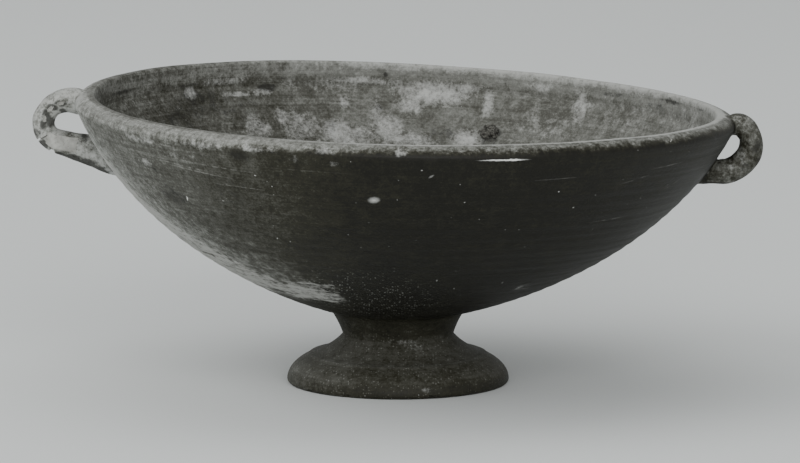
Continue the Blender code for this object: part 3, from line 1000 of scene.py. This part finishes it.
# %% Wear and painted light of the walls, and wear of the lip
def wall_wear_and_painted_light(tree, p):
    # Painted light: the outside is made much lighter on the left, partly mottled wear and partly light from the left.
    outer = weighted(tree, 0.0, [
        (p.left, 0.0, 0.57), (p.right, 0.0, 0.04), (p.on_coil, 0.0, -0.05), (p.broad, 0.5, 0.20)
    ])
    # Painted light and shade: the inside is made lighter in the middle and on the right, which face the light from
    # the left, and darker on the left.
    inner = weighted(tree, 0.39, [(p.not_left, 0.0, 0.14), (p.right, 0.0, 0.11), (p.cloudy, 0.5, 0.28)])
    wear_and_painted_light = add(tree, "Mix", {0: p.inside, 2: outer, 3: inner}, data_type="FLOAT")
    rough_share = weighted(tree, 0.55, [(p.left, 0.0, 0.50), (p.inside, 0.0, 0.20), (p.on_coil, 0.0, 0.55)])
    pattern = weighted(tree, 0.0, [
        (p.cloudy, 0.5, 0.45), (p.mottle, 0.5, 0.65), (p.fine, 0.5, 0.80), (p.wide_streaks, 0.5, 0.40),
        (p.thin_streaks, 0.5, 0.28),
    ])
    wear_and_painted_light = add(tree, "Math", {0: pattern, 1: rough_share, 2: wear_and_painted_light}, operation="MULTIPLY_ADD")
    thin = patchy(tree, p.worn, p.mottle, 1.1, 0.10, 1.00)
    gritty = add(tree, "Math", {0: p.grains, 1: p.grit}, operation="MULTIPLY")
    return weighted(tree, wear_and_painted_light, [(thin, 0.0, 0.48), (p.dust, 0.0, 0.58), (gritty, 0.0, 0.78)])


def lip_wear(tree, p):
    edge = weighted(tree, RIM_HEIGHT - 2.0, [(p.left, 0.0, -2.2)])
    ragged = weighted(tree, p.z, [(p.mottle, 0.5, 2.4), (p.cloudy, 0.5, 3.6), (p.fine, 0.5, 1.4)])
    over = add(tree, "Math", {0: ragged, 1: edge}, operation="SUBTRACT")
    band = add(tree, "MapRange", {0: over, 1: -1.5, 2: 1.6}, interpolation_type="SMOOTHSTEP")
    share = weighted(tree, 1.0, [(p.on_coil, 0.0, -0.63), (p.left, 0.0, -0.74), (p.inside, 0.0, -0.58)])
    share = add(tree, "Math", {0: share, 1: 0.0}, operation="MAXIMUM")
    level = weighted(tree, 0.57, [(p.mottle, 0.5, 0.7), (p.fine, 0.5, 0.5)])
    worn_level = add(tree, "Math", {0: band, 1: level}, operation="MULTIPLY")
    rubbed = add(tree, "Math", {0: worn_level, 1: share}, operation="MULTIPLY")
    bead = add(tree, "MapRange", {0: p.z, 1: 95.5, 2: 98.8, 4: 0.16}, interpolation_type="SMOOTHSTEP")
    return add(tree, "Math", {0: bead, 1: p.inside, 2: rubbed}, operation="MULTIPLY_ADD")


# %% [markdown]
# ## The colours of the slip
# A colour ramp turns the wear and painted light into clay colours, and the stains are laid over it as coats:
# faint pale streaks, soot and dark soil with painted shade along the inner bead, silt that is partly a painted
# reflection near the left outline, lime with a painted highlight on the left handle's lower seam, specks, and a
# few small near-white marks.

# %% Ramp and coats
WEAR_COLOURS = (
    (0.00, "#100f08"),
    (0.22, "#29281e"),
    (0.45, "#50504a"),
    (0.70, "#7d7e79"),
    (1.00, "#a6a7a3"),
)
LIME_AND_HIGHLIGHT = "#c2c3c0"
SILT_AND_REFLECTION = "#adada9"
SOOT_AND_SHADE = "#181712"
NEAR_WHITE = "#e4e5e2"


def slip_colour(tree, p, wear_and_painted_light):
    """The finished colour, and how much silt, lime, painted highlight and painted reflection lie on it."""
    stops = add(tree, "ValToRGB", {0: wear_and_painted_light})
    ramp = stops.node.color_ramp
    while len(ramp.elements) < len(WEAR_COLOURS):
        ramp.elements.new(0.5)
    for element, (position, colour) in zip(ramp.elements, WEAR_COLOURS):
        element.position = position
        element.color = linear(colour)
    skin = unrolled_skin(tree, p)
    broken_line = add(tree, "MapRange", {0: p.mottle, 1: 0.40, 2: 0.56, 4: 0.5}, interpolation_type="SMOOTHSTEP")
    faint = add(tree, "Math", {0: marks(tree, skin, FAINT_MARKS), 1: broken_line}, operation="MULTIPLY")
    faint = add(tree, "Math", {0: faint, 1: p.outside}, operation="MULTIPLY")
    pale = add(tree, "Math", {0: marks(tree, skin, PALE_MARKS), 1: p.outside}, operation="MULTIPLY")
    soot_and_bead_shade = patchy(tree, p.dark, p.mottle, 1.6, 0.40, 0.76)
    silt_and_reflection_pattern = weighted(tree, 0.5, [(p.wide_streaks, 0.5, 0.8), (p.mottle, 0.5, 0.9), (p.cloudy, 0.5, 0.8)])
    ground = add(tree, "MapRange", {0: p.silt, 1: 0.04, 2: 0.26}, interpolation_type="SMOOTHSTEP")
    silt_and_reflection_share = patchy(tree, p.silt, silt_and_reflection_pattern, 1.9, 0.26, 0.92)
    silt_and_reflection_share = add(tree, "Math", {0: silt_and_reflection_share, 1: ground}, operation="MULTIPLY")
    lime_and_highlight_pattern = weighted(tree, 0.5, [(p.mottle, 0.5, 0.7), (p.cloudy, 0.5, 0.6), (p.fine, 0.5, 0.5)])
    lime_and_highlight_share = patchy(tree, p.lime, lime_and_highlight_pattern, 1.3, 0.32, 1.02)
    colour = coated(tree, stops, [
        (faint, 0.75, SILT_AND_REFLECTION), (soot_and_bead_shade, 0.80, SOOT_AND_SHADE), (silt_and_reflection_share, 0.92, SILT_AND_REFLECTION), (lime_and_highlight_share, 0.76, LIME_AND_HIGHLIGHT), (p.pale_specks, 0.5, LIME_AND_HIGHLIGHT),
        (p.dark_specks, 0.55, SOOT_AND_SHADE), (pale, 1.0, NEAR_WHITE),
    ])
    return colour, add(tree, "Math", {0: lime_and_highlight_share, 1: silt_and_reflection_share}, operation="MAXIMUM")


# %% [markdown]
# ## Shine and relief of the slip
# Rubbed slip has a dull shine. What lies on it, or wore through it, has none. The relief is given in
# millimetres of height: the wheel's streaks, the worn grain, and the crust standing a little proud.


# %% The worn slip material, with its painted light and shade
def worn_slip_with_painted_light():
    material, tree, shader = new_material("worn_dark_slip_with_painted_light")
    p = slip_patterns(tree)
    wear_and_painted_light = add(tree, "Math", {0: wall_wear_and_painted_light(tree, p), 1: lip_wear(tree, p)}, operation="ADD")
    colour, crust_and_painted_light = slip_colour(tree, p, wear_and_painted_light)
    tree.links.new(colour, shader.inputs["Base Color"])
    matt = weighted(tree, 0.58, [(wear_and_painted_light, 0.1, 0.35), (crust_and_painted_light, 0.0, 0.3), (p.wide_streaks, 0.5, 0.3)])
    rough = add(tree, "Math", {0: matt, 1: 0.95}, operation="MINIMUM")
    tree.links.new(rough, shader.inputs["Roughness"])
    relief = weighted(tree, 0.0, [
        (p.wide_streaks, 0.5, 0.12), (p.thin_streaks, 0.5, 0.06), (p.mottle, 0.5, 0.16), (p.fine, 0.5, 0.15),
        (crust_and_painted_light, 0.0, 0.12), (p.dark_specks, 0.0, -0.08),
    ])
    bump = add(tree, "Bump", {"Height": relief, "Distance": MM, "Strength": 0.9})
    tree.links.new(bump, shader.inputs["Normal"])
    shader.inputs["IOR"].default_value = 1.5
    shader.inputs["Specular IOR Level"].default_value = 0.24
    return material


slip_material = worn_slip_with_painted_light()
print("Slip:", len(slip_material.node_tree.nodes), "nodes")

# %% [markdown]
# ## The bare clay
# Where a flake is gone the clay itself shows: a pale, gritty, low-fired earthenware with dark and light
# temper in it. It has no shine at all.


# %% The broken clay material
def bare_clay():
    material, tree, shader = new_material("bare_broken_earthenware")
    place = add(tree, "Attribute", {}, output=1, attribute_name="as_thrown")
    cloudy = add(tree, "TexNoise", {"Vector": place, "Scale": 1 / 3.0, "Detail": 4.0, "Roughness": 0.6})
    gritty = add(tree, "TexNoise", {"Vector": place, "Scale": 1 / 0.6, "Detail": 3.0, "Roughness": 0.7})
    light = add(tree, "MapRange", {0: cloudy, 1: 0.3, 2: 0.7}, interpolation_type="SMOOTHSTEP")
    temper = add(tree, "MapRange", {0: gritty, 1: 0.58, 2: 0.72}, interpolation_type="SMOOTHSTEP")
    clay = add(tree, "Mix", {0: light, 6: linear("#94948f"), 7: linear("#b4b4af")}, output=2, data_type="RGBA")
    tree.links.new(coated(tree, clay, [(temper, 0.55, "#62615b")]), shader.inputs["Base Color"])
    bump = add(tree, "Bump", {"Height": gritty, "Distance": 0.25 * MM, "Strength": 0.8})
    tree.links.new(bump, shader.inputs["Normal"])
    shader.inputs["Roughness"].default_value = 0.9
    return material


for index, material in ((THROWN, slip_material), (COIL, slip_material), (BROKEN, bare_clay())):
    body.data.materials[index] = material
print("Materials:", [material.name for material in body.data.materials])

# %% [markdown]
# ## A lump of earth
# A crumb of burial earth still clings to the inner wall at the back. It is a small rough stone shape, flattened
# against the wall and sunk a third of its height into it. The nearest point of the finished wall and its normal
# say where it sits and which way it faces.

# %% Press the lump on
LUMP_PLACE = (71.3, 79.4)
LUMP_HALF_SIZES = (3.4, 2.6, 1.3)
LUMP_SUNK = 0.35


def dried_earth():
    material, tree, shader = new_material("dried_burial_earth")
    place = add(tree, "TexCoord", {}, output=3)
    crumbs = add(tree, "TexNoise", {"Vector": place, "Scale": 1100.0, "Detail": 4.0, "Roughness": 0.7})
    pale = add(tree, "MapRange", {0: crumbs, 1: 0.38, 2: 0.62}, interpolation_type="SMOOTHSTEP")
    colour = add(tree, "Mix", {0: pale, 6: linear("#1f1e19"), 7: linear("#605f59")}, output=2, data_type="RGBA")
    tree.links.new(colour, shader.inputs["Base Color"])
    bump = add(tree, "Bump", {"Height": crumbs, "Distance": 0.6 * MM, "Strength": 1.0})
    tree.links.new(bump, shader.inputs["Normal"])
    shader.inputs["Roughness"].default_value = 0.95
    return material


def earth_lump():
    azimuth, height = LUMP_PLACE
    aim = sagged(at(azimuth, wall_radius(height) - WALL_THICKNESS, height) / MM) * MM
    _, spot, normal, _ = body.closest_point_on_mesh(aim)
    work = bmesh.new()
    bmesh.ops.create_icosphere(work, subdivisions=4, radius=1.0)
    for vert in work.verts:
        vert.co *= 1.0 + 0.5 * noise.fractal(vert.co * 1.7, 0.9, 2.0, 4)
    size = Matrix.Diagonal((*[half * MM for half in LUMP_HALF_SIZES], 1.0))
    facing = normal.to_track_quat("Z", "Y").to_matrix().to_4x4()
    middle = spot + normal * LUMP_HALF_SIZES[2] * LUMP_SUNK * MM
    bmesh.ops.transform(work, matrix=Matrix.Translation(middle) @ facing @ size, verts=work.verts)
    lump = made_object("earth_lump", work)
    lump.data.materials[0] = dried_earth()
    return lump


lump = earth_lump()
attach(lump, "root")
print("Lump:", len(lump.data.polygons), "faces")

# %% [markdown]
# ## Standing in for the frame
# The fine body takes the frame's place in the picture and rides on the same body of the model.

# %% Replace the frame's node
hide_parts("cup")
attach(body, "root")
print("The fine body stands for the node cup")

# %% [markdown]
# ## The studio
# The photograph was taken on a pale sheet in soft light from the upper left, a little behind the cup, with
# a long lens from a couple of metres away and slightly above.

# %% Floor
FLOOR_HALF_WIDTH = 6.0


def studio_floor():
    work = bmesh.new()
    bmesh.ops.create_grid(work, x_segments=1, y_segments=1, size=FLOOR_HALF_WIDTH)
    floor_piece = made_object("studio_floor", work)
    material, tree, shader = new_material("matt_paper_sheet")
    place = add(tree, "TexCoord", {}, output=3)
    fibres = add(tree, "TexNoise", {"Vector": place, "Scale": 900.0, "Detail": 2.0})
    sheet = add(tree, "Mix", {0: fibres, 6: linear("#dcdfde"), 7: linear("#e2e5e4")}, output=2, data_type="RGBA")
    tree.links.new(sheet, shader.inputs["Base Color"])
    shader.inputs["Roughness"].default_value = 0.95
    shader.inputs["Specular IOR Level"].default_value = 0.1
    floor_piece.data.materials[0] = material
    return floor_piece


studio_floor()

# %% Lights
WORLD_GREY = "#d2d4d4"
WORLD_STRENGTH = 0.8


def soft_light(name, place, target, size, power):
    data = bpy.data.lights.new(name, "AREA")
    data.shape = "DISK"
    data.size = size
    data.energy = power
    lamp = bpy.data.objects.new(name, data)
    lamp.location = place
    lamp.rotation_euler = (Vector(target) - Vector(place)).to_track_quat("-Z", "Y").to_euler()
    bpy.context.scene.collection.objects.link(lamp)
    return lamp


soft_light("window_upper_left", (-2.2, -0.5, 1.8), (0.0, 0.0, 0.05), 2.6, 31)
soft_light("sky_above", (0.0, 0.5, 2.6), (0.0, 0.0, 0.0), 2.4, 12)
soft_light("room_in_front", (0.3, -2.7, 1.0), (0.0, 0.0, 0.03), 2.2, 56)
world = bpy.data.worlds.new("studio_air")
world.use_nodes = True
background = world.node_tree.nodes["Background"]
background.inputs["Color"].default_value = linear(WORLD_GREY)
background.inputs["Strength"].default_value = WORLD_STRENGTH
bpy.context.scene.world = world
print("Lights: window, sky, room and studio air")

# %% Camera
PHOTO_WIDTH = 800
FOCAL_PIXELS = 7000
CAMERA_PITCH_DEG = 8.49
CAMERA_DISTANCE = 2.553
CAMERA_TARGET = Vector((0.00067, 0.0, 0.0554))

camera_data = bpy.data.cameras.new("photo_camera")
camera_data.sensor_width = 36.0
camera_data.lens = FOCAL_PIXELS / PHOTO_WIDTH * camera_data.sensor_width
camera_data.clip_end = 50.0
camera = bpy.data.objects.new("photo_camera", camera_data)
pitch = math.radians(CAMERA_PITCH_DEG)
camera.location = CAMERA_TARGET + CAMERA_DISTANCE * Vector((0.0, -math.cos(pitch), math.sin(pitch)))
camera.rotation_euler = (math.pi / 2 - pitch, 0.0, 0.0)
bpy.context.scene.collection.objects.link(camera)
bpy.context.scene.camera = camera
print("Lens:", round(camera_data.lens), "mm")
